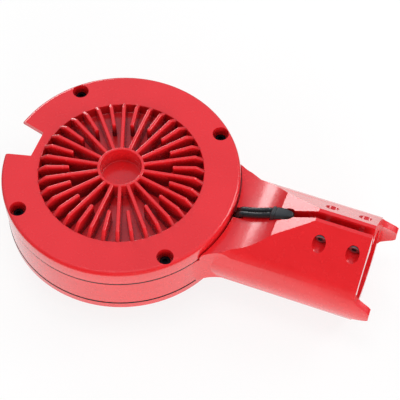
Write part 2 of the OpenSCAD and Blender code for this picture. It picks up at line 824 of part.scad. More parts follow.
// Ball bearing as inner race, outer race and shielded ball space
module bearing(z) {
    translate([0, 0, z]) difference() {
        cylinder(h = bearing_w, r = bearing_d / 2 - thread_gap);
        translate([0, 0, -cut]) cylinder(h = bearing_w + 2 * cut, r = shaft_d / 2 + running);
        for (s = [0, 1]) translate([0, 0, s * (bearing_w - 0.4) - (1 - s) * cut]) difference() {
            cylinder(h = 0.4 + cut, r = bearing_d / 2 - 0.8);
            translate([0, 0, -cut]) cylinder(h = 0.4 + 3 * cut, r = shaft_d / 2 + 0.8);
        }
    }
}

module upper_bearing() {
    color([0.80, 0.81, 0.83]) at_drum() bearing(ceiling_z - 1.6 - bearing_w);
}

module lower_bearing() {
    color([0.80, 0.81, 0.83]) at_drum() bearing(housing_z0);
}

module motor_shaft() {
    color([0.78, 0.79, 0.81]) at_drum() difference() {
        translate([0, 0, hub_z0]) cylinder(h = shaft_top - hub_z0, r = shaft_d / 2);
        // Groove for the clip
        translate([0, 0, clip_z]) difference() {
            cylinder(h = 0.7, r = shaft_d);
            translate([0, 0, -cut]) cylinder(h = 1 + 2 * cut, r = shaft_d / 2 - 0.4);
        }
    }
}

module shaft_clip() {
    color([0.35, 0.36, 0.38]) at_drum() translate([0, 0, clip_z + 0.05]) linear_extrude(0.6) difference() {
        circle(shaft_d / 2 + 1.1);
        circle(shaft_d / 2 - 0.38);
        translate([0, -0.9]) square([shaft_d, 1.8]);
    }
}

module rotor_bell() {
    color([0.62, 0.63, 0.65]) at_drum() difference() {
        union() {
            translate([0, 0, bell_z0]) cylinder(h = bell_z1 - bell_z0, r = bell_r);
            translate([0, 0, hub_z0]) cylinder(h = cup_floor + bell_floor, r = hub_r);
        }
        translate([0, 0, bell_z0 + bell_floor]) cylinder(h = drum_h, r = bell_in);
        translate([0, 0, hub_z0 - cut]) cylinder(h = drum_h, r = shaft_d / 2 + thread_gap);
        for (i = [0:2]) rotate(120 * i) translate([fan_screw_r, 0, bell_z0 - cut])
            cylinder(h = bell_floor + 2 * cut, r = fan_screw_d / 2 + thread_gap);
    }
}

module rotor_magnets() {
    count = 14;
    color([0.30, 0.31, 0.33]) at_drum() translate([0, 0, stator_z0 - 1])
        linear_extrude(bell_z1 - stator_z0 + 0.6) difference() {
            circle(magnet_r + magnet_t);
            circle(magnet_r);
            for (i = [0:count - 1]) rotate(360 / count * i) translate([0, -0.5]) square([2 * magnet_r, 1]);
        }
}

// ---------- Fan ----------

// Plan of one backward-curved blade: a slice of a round strip
module blade_plan() {
    strip_r = 34;
    mid_r = (eye_r + fan_r) / 2;
    lean = 48;
    intersection() {
        difference() {
            circle(fan_r - 0.2);
            circle(eye_r - 2);
        }
        translate([mid_r, 0]) rotate(lean) translate([0, -strip_r]) difference() {
            circle(strip_r + fan_t / 2);
            circle(strip_r - fan_t / 2);
            translate([-2 * strip_r, -3 * strip_r]) square([4 * strip_r, 3.2 * strip_r]);
        }
        translate([0, -fan_r]) square([2 * fan_r, 2 * fan_r]);
    }
}

module fan_wheel() {
    color([0.14, 0.14, 0.15]) at_drum() difference() {
        union() {
            // Cup over the rotor bell
            translate([0, 0, hub_z0]) cylinder(h = fan_z1 - hub_z0, r = cup_r);
            // Back disc and inlet ring
            translate([0, 0, fan_z1 - fan_t]) cylinder(h = fan_t, r = fan_r);
            translate([0, 0, fan_z0]) difference() {
                cylinder(h = fan_t, r = fan_r);
                translate([0, 0, -cut]) cylinder(h = fan_t + 2 * cut, r = eye_r);
            }
            translate([0, 0, fan_z0 + fan_t / 2]) linear_extrude(fan_z1 - fan_z0 - fan_t)
                for (i = [0:blade_count - 1]) rotate(360 / blade_count * i) blade_plan();
        }
        translate([0, 0, bell_z0]) cylinder(h = drum_h, r = bell_r + 0.1);
        translate([0, 0, hub_z0 - cut]) cylinder(h = drum_h, r = hub_r + 0.1);
        for (i = [0:2]) rotate(120 * i) translate([fan_screw_r, 0, hub_z0 - cut])
            cylinder(h = cup_floor + 2 * cut, r = fan_screw_d / 2 + slip);
    }
}

module fan_screws() {
    color([0.70, 0.71, 0.73]) at_drum() for (i = [0:2]) rotate(120 * i)
        translate([fan_screw_r, 0, hub_z0]) {
            translate([0, 0, -1]) cylinder(h = 1, r = fan_screw_d * 0.9);
            cylinder(h = cup_floor + bell_floor - 0.2, r = fan_screw_d / 2);
        }
}

module intake_filter() {
    color([0.20, 0.20, 0.21]) at_drum() translate([0, 0, base_plate]) cylinder(h = filter_t, r = eye_r + 0.7);
}

body_casting();
finned_cover();
base_cover();
cover_gasket();
base_gasket();
cover_screws();
base_screws();
clamp_screws();
clamp_nuts();
power_lead();
lead_boot();
contact_block();
contact_sleeves();
terminal_block();
drive_board();
board_screws();
thermal_pad();
scroll_liner();
stator_core();
stator_windings();
upper_bearing();
lower_bearing();
motor_shaft();
shaft_clip();
rotor_bell();
rotor_magnets();
fan_wheel();
fan_screws();
intake_filter();
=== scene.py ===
"""Blower head for an arm-mounted dryer: the pieces that show, their finishes and a studio."""
import math

import bmesh
import bpy
from mathutils import Matrix, Vector


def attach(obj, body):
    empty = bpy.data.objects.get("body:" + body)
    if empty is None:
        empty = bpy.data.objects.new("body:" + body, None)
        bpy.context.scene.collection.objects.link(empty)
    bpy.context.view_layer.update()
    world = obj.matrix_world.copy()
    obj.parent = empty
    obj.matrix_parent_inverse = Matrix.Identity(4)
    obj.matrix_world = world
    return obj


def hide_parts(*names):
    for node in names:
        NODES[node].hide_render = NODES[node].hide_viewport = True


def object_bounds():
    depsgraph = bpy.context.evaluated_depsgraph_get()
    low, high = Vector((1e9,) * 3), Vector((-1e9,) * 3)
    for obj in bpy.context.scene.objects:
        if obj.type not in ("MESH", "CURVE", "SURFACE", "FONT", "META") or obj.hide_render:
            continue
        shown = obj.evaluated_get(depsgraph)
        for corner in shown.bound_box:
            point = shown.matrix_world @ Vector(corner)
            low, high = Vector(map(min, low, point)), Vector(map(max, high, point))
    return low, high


bl_info = {
    "name": "Dryer blower head",
    "version": (1, 0, 0),
    "blender": (4, 5, 0),
    "location": "View3D > Sidebar > Blower head",
    "description": "Builds the visible pieces of a clamp-on blower head and its studio",
    "category": "Object",
}

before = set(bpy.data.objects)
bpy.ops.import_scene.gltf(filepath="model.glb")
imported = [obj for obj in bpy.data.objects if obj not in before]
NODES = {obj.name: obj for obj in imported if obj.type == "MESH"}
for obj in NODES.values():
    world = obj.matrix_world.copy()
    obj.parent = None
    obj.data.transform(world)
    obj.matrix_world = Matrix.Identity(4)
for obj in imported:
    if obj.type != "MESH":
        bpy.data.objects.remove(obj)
CAD_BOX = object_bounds()

# The drum's axis and base plane in the row frame. Sizes of the drum are in millimetres about
# that axis, heights from that plane.
DRUM = Vector((-163.5, 0.0, -18.0))
BAND_Z = 29.5  # lower edge of the cover
WELL_Z = 33.9  # floor of the cover's well
PLATE_Z = 37.9  # underside of the cover's rim
FACE_Z = 41.5  # top face of the cover
FIN_TOP = 45.9
SCREW_R = 69.0  # circle of the cover screws
SEAT_Z = 32.5  # seat of the cover screws' heads


def mm(x, y, z):
    """A point given in millimetres about the drum's axis, in metres in the row frame."""
    return (Vector((x, y, z)) + DRUM) / 1000


# ---------- Sizes and colours that a user would change ----------


class HeadSizes(bpy.types.PropertyGroup):
    long_fins: bpy.props.IntProperty(
        name="Long fins", default=18, min=3, max=40,
        description="Fins that reach the ring; as many short ones stand between them")
    fin_crest: bpy.props.FloatProperty(
        name="Fin crest", description="Thickness of a cooling fin at its crest",
        default=0.0024, unit="LENGTH")
    fin_root: bpy.props.FloatProperty(
        name="Fin root", description="Thickness of a cooling fin at its root",
        default=0.0031, unit="LENGTH")
    edge: bpy.props.FloatProperty(
        name="Cast edge", description="Rounding of the castings' edges under the coat",
        default=0.0006, unit="LENGTH")
    small_edge: bpy.props.FloatProperty(
        name="Small edge", description="Rounding of fins, screws and moulded parts",
        default=0.0003, unit="LENGTH")
    floor_drop: bpy.props.FloatProperty(
        name="Floor gap", description="Gap between the lowest point and the floor",
        default=0.0005, unit="LENGTH")


def srgb(code):
    """Linear RGBA from an sRGB hex code."""
    parts = [int(code[i:i + 2], 16) / 255 for i in (1, 3, 5)]
    linear = [c / 12.92 if c <= 0.04045 else ((c + 0.055) / 1.055) ** 2.4 for c in parts]
    return (*linear, 1.0)


def colour_property(name, words, code):
    return bpy.props.FloatVectorProperty(
        name=name, description=words, subtype="COLOR", size=4, min=0, max=1, default=srgb(code))


class HeadColours(bpy.types.PropertyGroup):
    coat: colour_property("Coat", "Red powder coat", "#e91e25")
    coat_deep: colour_property("Coat, deep", "Red powder coat where it lies thicker", "#e1191f")
    floor: colour_property("Floor", "Studio floor and backdrop", "#ffffff")


# ---------- Materials ----------


def add(tree, kind, inputs=None, stops=(), into=None, **settings):
    """Adds a node with its settings and links. An input is a plain value or the socket that feeds
    it, stops are a colour ramp's two (position, colour) pairs, into is the socket it feeds."""
    made = tree.nodes.new(kind)
    for key, value in settings.items():
        setattr(made, key, value)
    for key, value in (inputs or {}).items():
        socket = made.inputs[key]
        if isinstance(value, bpy.types.NodeSocket):
            tree.links.new(value, socket)
        else:
            socket.default_value = value
    for i, (position, colour) in enumerate(stops):
        element = made.color_ramp.elements[i]
        element.position, element.color = position, colour
    if into is not None:
        tree.links.new(made.outputs[0], into)
    return made


def per_mm(size):
    """Noise scale, in cells per metre, for a feature of that size in millimetres."""
    return 1000 / size


def start_material(name, **shader):
    """A material with a Principled shader; shader gives the values that are the same all over.
    Comes with its tree, the shader's inputs and the place on the object for its textures."""
    material = bpy.data.materials.new(name)
    material.use_nodes = True
    tree = material.node_tree
    surface = tree.nodes["Principled BSDF"].inputs
    for key, value in shader.items():
        surface[key.replace("_", " ")].default_value = value
    place = add(tree, "ShaderNodeTexCoord").outputs["Object"]
    return material, tree, surface, place


def powder_coat(name, coat, deep, painted_root_shade=None):
    """Polyester powder coat on a sand-cast aluminium head: an even satin gloss over a very
    faint orange peel, slightly deeper in tone where the powder lies thick. Given a dark root
    colour, the colour darkens with falling height towards the roots of the fins: painted shade."""
    material, tree, surface, place = start_material(
        name, IOR=1.5, Coat_Weight=0.8, Coat_Roughness=0.14, Coat_IOR=1.5)
    drift = add(tree, "ShaderNodeTexNoise", {"Vector": place, "Scale": per_mm(38), "Detail": 2.0})
    tone = add(tree, "ShaderNodeValToRGB", {"Fac": drift.outputs["Fac"]},
               stops=[(0.32, deep), (0.68, coat)]).outputs["Color"]
    # Painted shade: from 44.5 mm down to 37 mm the colour goes over to the dark root colour, as the
    # shade between the fins would make it
    if painted_root_shade:
        height = add(tree, "ShaderNodeSeparateXYZ", {0: place}).outputs["Z"]
        share = add(tree, "ShaderNodeMapRange", {
            "Value": height, "From Min": mm(0, 0, 37.0).z, "From Max": mm(0, 0, 44.5).z}).outputs[0]
        tone = add(tree, "ShaderNodeMix", {0: share, 6: painted_root_shade, 7: tone}, data_type="RGBA").outputs[2]
    tree.links.new(tone, surface["Base Color"])
    # Orange peel of a fine powder coat is about 4 mm from crest to crest and a few microns deep
    peel = add(tree, "ShaderNodeTexNoise", {
        "Vector": place, "Scale": per_mm(4), "Detail": 1.0}).outputs["Fac"]
    add(tree, "ShaderNodeBump", {"Height": peel, "Distance": 0.003 / 1000, "Strength": 0.4},
        into=surface["Normal"])
    add(tree, "ShaderNodeMapRange", {
        "Value": peel, "From Min": 0.3, "From Max": 0.7, "To Min": 0.25, "To Max": 0.28},
        into=surface["Roughness"])
    return material


def grained(tree, surface, grain, stops, low, high, depth_mm):
    """Lets a grain drive the tone along stops, the roughness from low to high, and the relief."""
    add(tree, "ShaderNodeValToRGB", {"Fac": grain}, stops=stops, into=surface["Base Color"])
    add(tree, "ShaderNodeMapRange", {
        "Value": grain, "From Min": 0.3, "From Max": 0.7, "To Min": low, "To Max": high},
        into=surface["Roughness"])
    add(tree, "ShaderNodeBump", {"Height": grain, "Distance": depth_mm / 1000},
        into=surface["Normal"])


def moulded(name, dark, light, grain_mm, depth_mm, low, high):
    """Moulded rubber or plastic: a fine eroded grain from the mould that breaks up the sheen."""
    material, tree, surface, place = start_material(name, IOR=1.5)
    grain = add(tree, "ShaderNodeTexNoise", {
        "Vector": place, "Scale": per_mm(grain_mm), "Detail": 4.0}).outputs["Fac"]
    grained(tree, surface, grain, [(0.35, srgb(dark)), (0.7, srgb(light))], low, high, depth_mm)
    return material


def metal(name, dark, light, low, high, stretch=(1, 1, 1), depth_mm=0.004):
    """Bare or plated metal: grain drawn out along the way it was worked, and uneven gloss."""
    material, tree, surface, place = start_material(name, Metallic=1.0)
    along = add(tree, "ShaderNodeMapping", {"Vector": place, "Scale": stretch}).outputs["Vector"]
    grain = add(tree, "ShaderNodeTexNoise", {
        "Vector": along, "Scale": per_mm(0.4), "Detail": 3.0}).outputs["Fac"]
    grained(tree, surface, grain, [(0.3, srgb(dark)), (0.7, srgb(light))], low, high, depth_mm)
    return material


def layered(name, dark, light, pitch_mm, rough, metallic):
    """A stack or winding: fine even bands, one for each sheet or turn."""
    material, tree, surface, place = start_material(name, Metallic=metallic, Roughness=rough)
    bands = add(tree, "ShaderNodeTexWave", {
        "Vector": place, "Scale": per_mm(pitch_mm) * math.pi / 10, "Distortion": 0.6,
        "Detail": 1.0, "Detail Scale": 2.0}, bands_direction="Z").outputs["Fac"]
    add(tree, "ShaderNodeValToRGB", {"Fac": bands},
        stops=[(0.2, srgb(dark)), (0.8, srgb(light))], into=surface["Base Color"])
    add(tree, "ShaderNodeBump", {"Height": bands, "Distance": 0.05 / 1000}, into=surface["Normal"])
    return material


def celled(name, size_mm, metric, dark, light, depth_mm, **shader):
    """Cells side by side, raised towards their edges: a board's copper maze, or a foam's pores.
    dark and light are the ends of the tone, as (position, colour)."""
    material, tree, surface, place = start_material(name, **shader)
    cells = add(tree, "ShaderNodeTexVoronoi", {
        "Vector": place, "Scale": per_mm(size_mm)}, distance=metric).outputs["Distance"]
    add(tree, "ShaderNodeValToRGB", {"Fac": cells}, stops=[dark, light], into=surface["Base Color"])
    add(tree, "ShaderNodeBump", {"Height": cells, "Distance": depth_mm / 1000},
        into=surface["Normal"])
    return material


FINISHES = {}


def finish_named(name):
    """The finishes, each made once and named for the real material and how it was worked."""
    if not FINISHES:
        colours = bpy.context.scene.head_colours
        coat, deep = tuple(colours.coat), tuple(colours.coat_deep)
        FINISHES.update({
            "coat": powder_coat("powder_coated_cast_aluminium", coat, deep),
            # The fins' coat has painted shade: darker towards their roots
            "fin_coat_painted_shade": powder_coat("powder_coated_fins_painted_shade", coat, deep, srgb("#6d080e")),
            "sheet_rubber": moulded("nitrile_sheet_rubber", "#0f0f10", "#1a1a1b", 0.5, 0.03,
                                    0.7, 0.85),
            # Extruded PVC has a soft sheen along its length and hardly any grain
            "lead": moulded("extruded_black_pvc", "#1a1c1d", "#272a2b", 1.2, 0.01, 0.24, 0.32),
            "boot": moulded("moulded_black_tpe", "#242729", "#34373a", 0.8, 0.02, 0.34, 0.48),
            "black_steel": metal("black_oxide_steel", "#121214", "#2a2a2d", 0.32, 0.5),
            "zinc": metal("bright_zinc_plate", "#b4b7ba", "#cfd1d4", 0.22, 0.3, depth_mm=0.002),
            "black_zinc": metal("black_passivated_zinc", "#242528", "#36373b", 0.32, 0.45),
            "plain_steel": metal("oiled_hardened_steel", "#97999c", "#adafb2", 0.3, 0.38,
                                 depth_mm=0.002),
            "ground_steel": metal("ground_bearing_steel", "#b4b6b9", "#dcdee0", 0.14, 0.26,
                                  (1, 1, 6)),
            "spring": metal("phosphated_spring_steel", "#2b2c2f", "#46484c", 0.4, 0.55),
            "pressed_steel": metal("pressed_zinc_steel", "#8d9094", "#bcbfc3", 0.25, 0.4),
            "brass": metal("turned_brass", "#b48a3c", "#e0bd6c", 0.18, 0.3, (8, 1, 1)),
            "magnet": metal("nickel_plated_magnet", "#6f7175", "#9a9ca0", 0.25, 0.4),
            "laminated": layered("laminated_silicon_steel", "#4a4c50", "#808388", 0.5, 0.4, 1.0),
            "winding": layered("enamelled_copper_wire", "#7d3512", "#c8743a", 0.6, 0.25, 0.8),
            "black_plastic": moulded("glass_filled_nylon", "#131415", "#242527", 0.6, 0.03,
                                     0.45, 0.62),
            "green_plastic": moulded("moulded_green_pbt", "#1c5a33", "#27764a", 0.6, 0.02,
                                     0.4, 0.55),
            "gap_pad": moulded("silicone_gap_pad", "#83888f", "#9aa0a8", 0.9, 0.05, 0.7, 0.85),
            # Glass-epoxy board under green solder mask: copper shows lighter below the mask
            "board": celled("green_masked_board", 3.0, "MANHATTAN", (0.30, srgb("#0f4a2c")),
                            (0.42, srgb("#1c6b40")), 0.02, Roughness=0.28, IOR=1.55),
            # Reticulated filter foam: open cells about 1.5 mm across, dull and deep
            "foam": celled("reticulated_foam", 1.5, "EUCLIDEAN", (0.2, srgb("#0c0c0d")),
                           (0.7, srgb("#3a3b3d")), 0.5, Roughness=0.95),
        })
    return FINISHES[name]


# ---------- Mesh helpers ----------


def to_object(name, mesh, finish, body="housing", stands_for=()):
    """Puts a finished mesh in the scene, on its body, in place of the CAD nodes it stands for."""
    made = bpy.data.objects.new(name, mesh)
    bpy.context.collection.objects.link(made)
    mesh.materials.clear()
    mesh.materials.append(finish_named(finish))
    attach(made, body)
    if stands_for:
        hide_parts(*stands_for)
    return made


def evaluated(source):
    """The mesh of an object with its modifiers, as a plain mesh; the object goes."""
    depsgraph = bpy.context.evaluated_depsgraph_get()
    mesh = bpy.data.meshes.new_from_object(source.evaluated_get(depsgraph))
    bpy.data.objects.remove(source, do_unlink=True)
    return mesh


def loose(mesh, name="work"):
    """A mesh put in the scene for a while, to work on."""
    made = bpy.data.objects.new(name, mesh)
    bpy.context.collection.objects.link(made)
    return made


def soften(mesh, width, segments, limit, sharp=50, curved=False):
    """Rounds the edges of a mesh that turn by more than limit degrees, and shades it smooth.
    A curved mesh keeps the shading of its round faces right up to the rounded edges."""
    work = loose(mesh)
    made = work.modifiers.new("Edge", "BEVEL")
    made.width, made.segments, made.limit_method = width, segments, "ANGLE"
    made.angle_limit, made.use_clamp_overlap = math.radians(limit), True
    made.miter_outer, made.harden_normals = "MITER_ARC", curved
    if curved:
        mesh.shade_smooth()
        return evaluated(work)
    return shaded(evaluated(work), sharp)


def shaded(mesh, sharp=50):
    """Shades a mesh smooth up to an angle, with flat areas kept flat."""
    mesh.shade_smooth()
    mesh.set_sharp_from_angle(angle=math.radians(sharp))
    work = loose(mesh)
    made = work.modifiers.new("Flats", "WEIGHTED_NORMAL")
    made.mode, made.weight, made.keep_sharp = "FACE_AREA", 50, True
    return evaluated(work)


def cad_copy(node):
    """The merged mesh of a CAD node, with its flat areas as whole faces."""
    mesh = NODES[node].data.copy()
    work = bmesh.new()
    work.from_mesh(mesh)
    bmesh.ops.remove_doubles(work, verts=work.verts, dist=1e-6)
    bmesh.ops.dissolve_limit(
        work, angle_limit=math.radians(0.6), verts=work.verts, edges=work.edges, delimit={"NORMAL"})
    work.to_mesh(mesh)
    work.free()
    for attribute in [a for a in mesh.attributes if a.name.startswith("custom_normal")]:
        mesh.attributes.remove(attribute)
    return mesh


def lathe(outline, steps=192):
    """A closed outline of (radius, height) in millimetres, turned about the drum's axis."""
    work = bmesh.new()
    rings = []
    for radius, height in outline:
        if radius < 1e-6:
            rings.append([work.verts.new(mm(0, 0, height))])
            continue
        rings.append([
            work.verts.new(mm(radius * math.cos(2 * math.pi * i / steps),
                              radius * math.sin(2 * math.pi * i / steps), height))
            for i in range(steps)])
    for low, high in zip(rings, rings[1:] + rings[:1]):
        if len(low) == 1 and len(high) == 1:
            continue
        for i in range(steps):
            j = (i + 1) % steps
            corners = (low[i % len(low)], low[j % len(low)], high[j % len(high)],
                       high[i % len(high)])
            work.faces.new(list(dict.fromkeys(corners)))
    return closed(work, "lathe")


def arc(cx, cz, radius, start, end, steps=6):
    """Points of an arc in an outline, between two angles in degrees."""
    return [(cx + radius * math.cos(math.radians(start + (end - start) * i / steps)),
             cz + radius * math.sin(math.radians(start + (end - start) * i / steps)))
            for i in range(steps + 1)]


def slab(points, half):
    """An outline in millimetres (x, z) made a slab; half gives its half thickness at a height."""
    work = bmesh.new()
    sides = [[work.verts.new(Vector((x, side * half(z), z)) / 1000) for x, z in points]
             for side in (-1, 1)]
    work.faces.new(sides[0])
    work.faces.new(sides[1][::-1])
    for i in range(len(points)):
        j = (i + 1) % len(points)
        work.faces.new([sides[0][j], sides[0][i], sides[1][i], sides[1][j]])
    return closed(work, "slab")


def block(plan, low, high):
    """A plan of (x, y) points in millimetres about the drum's axis, made a block."""
    work = bmesh.new()
    rings = [[work.verts.new(mm(x, y, z)) for x, y in plan] for z in (low, high)]
    work.faces.new(rings[0])
    work.faces.new(rings[1][::-1])
    for i in range(len(plan)):
        j = (i + 1) % len(plan)
        work.faces.new([rings[0][j], rings[0][i], rings[1][i], rings[1][j]])
    return closed(work, "block")


def loft(rings, name):
    """Joins rings of points, in metres, into a closed skin with a cap at each end."""
    work = bmesh.new()
    loops = [[work.verts.new(point) for point in ring] for ring in rings]
    for near, far in zip(loops, loops[1:]):
        for i in range(len(near)):
            j = (i + 1) % len(near)
            work.faces.new([near[i], near[j], far[j], far[i]])
    work.faces.new(loops[0])
    work.faces.new(loops[-1][::-1])
    return closed(work, name)


def closed(work, name):
    """Ends a bmesh: faces outwards, and its mesh returned."""
    bmesh.ops.recalc_face_normals(work, faces=work.faces)
    mesh = bpy.data.meshes.new(name)
    work.to_mesh(mesh)
    work.free()
    return mesh


def combine(mesh, others, operation="DIFFERENCE"):
    """Takes the other meshes out of a mesh, or joins them to it, as one closed skin."""
    work = loose(mesh)
    tools = []
    for other in others:
        tools.append(loose(other, "tool"))
        made = work.modifiers.new("Combine", "BOOLEAN")
        made.object, made.operation, made.solver = tools[-1], operation, "EXACT"
    result = evaluated(work)
    for tool in tools:
        bpy.data.objects.remove(tool, do_unlink=True)
    return result


def merge(meshes):
    """Several meshes as one, side by side."""
    work = bmesh.new()
    for mesh in meshes:
        work.from_mesh(mesh)
    result = bpy.data.meshes.new("merged")
    work.to_mesh(result)
    work.free()
    return result


# ---------- Geometry Nodes: copies round the drum's axis ----------


def ring_tree():
    """Copies the incoming mesh round the vertical through Centre: Count copies from Start on."""
    if "copies_round_axis" in bpy.data.node_groups:
        return bpy.data.node_groups["copies_round_axis"]
    tree = bpy.data.node_groups.new("copies_round_axis", "GeometryNodeTree")
    face = tree.interface
    face.new_socket("Geometry", in_out="INPUT", socket_type="NodeSocketGeometry")
    for name, kind, value in (
            ("Count", "NodeSocketInt", 4), ("Start", "NodeSocketFloat", 0.0),
            ("Centre", "NodeSocketVector", (0.0, 0.0, 0.0)),
            ("Finish", "NodeSocketMaterial", None)):
        made = face.new_socket(name, in_out="INPUT", socket_type=kind)
        if value is not None:
            made.default_value = value
    face.new_socket("Geometry", in_out="OUTPUT", socket_type="NodeSocketGeometry")
    given = add(tree, "NodeGroupInput").outputs
    points = add(tree, "GeometryNodePoints", {"Count": given["Count"]})
    index = add(tree, "GeometryNodeInputIndex").outputs["Index"]
    step = add(tree, "ShaderNodeMath", {0: 2 * math.pi, 1: given["Count"]}, operation="DIVIDE")
    turn = add(tree, "ShaderNodeMath", {0: index, 1: step.outputs[0], 2: given["Start"]},
               operation="MULTIPLY_ADD")
    angle = add(tree, "ShaderNodeCombineXYZ", {"Z": turn.outputs[0]})
    copies = add(tree, "GeometryNodeInstanceOnPoints", {
        "Points": points.outputs[0], "Instance": given["Geometry"], "Rotation": angle.outputs[0]})
    real = add(tree, "GeometryNodeRealizeInstances", {"Geometry": copies.outputs[0]})
    moved = add(tree, "GeometryNodeTransform", {
        "Geometry": real.outputs[0], "Translation": given["Centre"]})
    painted = add(tree, "GeometryNodeSetMaterial", {
        "Geometry": moved.outputs[0], "Material": given["Finish"]})
    add(tree, "NodeGroupOutput", {"Geometry": painted.outputs[0]})
    return tree


def run_tree(mesh, tree, values):
    """Runs a node tree on a mesh with its named inputs and returns the plain result."""
    work = loose(mesh)
    made = work.modifiers.new("Nodes", "NODES")
    made.node_group = tree
    keys = {item.name: item.identifier for item in tree.interface.items_tree
            if item.item_type == "SOCKET" and item.in_out == "INPUT"}
    for name, value in values.items():
        made[keys[name]] = value
    return evaluated(work)


def round_drum(mesh, count, start, finish):
    """Copies of a mesh round the drum's axis; start is in degrees."""
    return run_tree(mesh, ring_tree(), {
        "Count": count, "Start": math.radians(start), "Centre": tuple(mm(0, 0, 0)),
        "Finish": finish_named(finish)})


# ---------- Small shapes ----------


def turned(outline, steps=48):
    """A closed outline of (radius, height) in millimetres, turned about the vertical through 0."""
    mesh = lathe(outline, steps)
    mesh.transform(Matrix.Translation(-DRUM / 1000))
    return mesh


def cylinder(radius, low, high, x=0.0, y=0.0, steps=64):
    """A round cutter in millimetres about the drum's axis."""
    mesh = turned([(0, low), (radius, low), (radius, high), (0, high)], steps)
    mesh.transform(Matrix.Translation((Vector((x, y, 0)) + DRUM) / 1000))
    return mesh


def air_mouth_cutter(low, high):
    """The sector of the drum that is open to the air, 28 degrees to each side."""
    sweep = [math.radians(152 + 56 * i / 12) for i in range(13)]
    return block([(55.5 * math.cos(a), 55.5 * math.sin(a)) for a in sweep]
                 + [(84 * math.cos(a), 84 * math.sin(a)) for a in reversed(sweep)], low, high)


def socket_head(length, thread, head, height):
    """Socket head cap screw: rolled thread end, chamfered head, hexagon socket."""
    head_r, thread_r = head / 2, thread / 2
    body = turned([
        (0, height), (head_r - 0.5, height), (head_r - 0.14, height - 0.14), (head_r, height - 0.5),
        (head_r, 0.15), (head_r - 0.15, 0), (thread_r, 0), (thread_r, -length + 0.5),
        (thread_r - 0.5, -length), (0, -length)])
    socket = turned([(0, height * 0.45), (head * 0.25, height * 0.5), (head * 0.25, height + 1),
                     (0, height + 1)], 6)
    return soften(combine(body, [socket]), 0.00008, segments=1, limit=40, sharp=40)


# ---------- Operators: one for each piece or group of like pieces ----------


class HEAD_OT_casting(bpy.types.Operator):
    """Drum wall, neck and clamp socket, one casting with rounded edges"""
    bl_idname = "head.casting"
    bl_label = "Body casting"

    def execute(self, context):
        mesh = cad_copy("body_casting")
        # The line where the hollow of the saddle ends and the flat facets begin stays crisp
        line, near = mm(104.6, 0, 48.8), 0.0004
        for edge in mesh.edges:
            ends = [mesh.vertices[i].co for i in edge.vertices]
            edge.use_edge_sharp = all(math.hypot(e.x - line.x, e.z - line.z) < near for e in ends)
        mesh = soften(mesh, context.scene.head_sizes.edge, segments=3, limit=25, curved=True)
        to_object("casting_shell", mesh, "coat", stands_for=["body_casting"])
        return {"FINISHED"}


class HEAD_OT_cover(bpy.types.Operator):
    """Cover with rim, sunk well, centre ring, screw recesses, notch and bearing housing"""
    bl_idname = "head.cover"
    bl_label = "Finned cover"

    def execute(self, context):
        centre_ring = (
            arc(12.5, WELL_Z + 0.5, 0.5, -90, 0, 3) + arc(13.6, FIN_TOP - 0.6, 0.6, 180, 90, 3)
            + arc(14.3, FIN_TOP - 0.6, 0.6, 90, 0, 3) + arc(15.4, WELL_Z + 0.5, 0.5, 180, 270, 3))
        well_wall = [(50.8, WELL_Z), (51.3, 34.1), (51.5, 34.7), (52.0, 40.8), (52.2, 41.3),
                     (52.6, FACE_Z)]
        rim = arc(72.8, FACE_Z - 2.6, 2.6, 90, 0, 8) + [
            (75.4, 30.1), (75.0, BAND_Z), (70.8, BAND_Z)]
        underside = [(70.5, 29.8), (70.5, PLATE_Z), (55.2, PLATE_Z), (55.2, 30.9), (8.6, 30.9)]
        bearing_housing = [(8.6, 27.4), (7, 27.4), (7, 12.3), (5, 12.3), (5, 16.3), (4.2, 16.3),
                           (4.2, 25.3), (5, 25.3), (5, 30.9), (0, 30.9)]
        plate = lathe([(0, WELL_Z), (12.5, WELL_Z)] + centre_ring + well_wall + rim + underside
                      + bearing_housing)
        # Screw bosses with a recess and a hole each, and blind holes for the board's screws
        bosses, cutters = [], []
        for i in range(4):
            turn = math.radians(45 + 90 * i)
            x, y = SCREW_R * math.cos(turn), SCREW_R * math.sin(turn)
            bosses.append(cylinder(6.2, BAND_Z, 38.4, x, y))
            cutters.append(cylinder(5.2, SEAT_Z, 50, x, y))
            cutters.append(cylinder(2.2, 20, 40, x, y, 32))
            turn = math.radians(90 * i)
            x, y = 44.2 * math.cos(turn), 44.2 * math.sin(turn)
            cutters.append(cylinder(1.27, 20, 32.9, x, y, 24))
        # Notch in the rim, wider outwards, and under the plate the air mouth
        inner, outer, inner_half, grow = 57.8, 80.4, 9.6, (14 - 9.6) / (75 - 57.8)
        outer_half = inner_half + grow * (outer - inner)
        cutters.append(block([(-inner, -inner_half), (-inner, inner_half), (-outer, outer_half),
                              (-outer, -outer_half)], 28.5, 70))
        cutters.append(air_mouth_cutter(28.5, PLATE_Z + 0.02))
        mesh = combine(combine(plate, bosses, "UNION"), cutters)
        mesh = soften(mesh, context.scene.head_sizes.small_edge, segments=2, limit=45)
        to_object("cover_plate", mesh, "coat", stands_for=["finned_cover"])
        return {"FINISHED"}


class HEAD_OT_fins(bpy.types.Operator):
    """Cooling fins: long ones out from the ring and short ones between them"""
    bl_idname = "head.fins"
    bl_label = "Cooling fins"

    def execute(self, context):
        sizes = context.scene.head_sizes
        crest, root = sizes.fin_crest * 500, sizes.fin_root * 500  # half thickness in mm

        def half(z):
            return crest + (root - crest) * (FIN_TOP - z) / (FIN_TOP - WELL_Z)

        def fin(start):
            # Its foot and its outer end run into the cover
            end, foot = 53.3, WELL_Z - 0.6
            outline = [(start, foot), (start, FIN_TOP), (47.4, FIN_TOP), (end, 41.0), (end, foot)]
            return soften(slab(outline, half), crest / 1000 * 0.72, segments=3, limit=25, sharp=60)

        count = sizes.long_fins
        # The fins take the coat with painted shade towards their roots
        fins = merge([round_drum(fin(14.0), count, 180 / count, "fin_coat_painted_shade"),
                      round_drum(fin(32.4), count, 0, "fin_coat_painted_shade")])
        to_object("cooling_fins", fins, "fin_coat_painted_shade", stands_for=["finned_cover"])
        return {"FINISHED"}


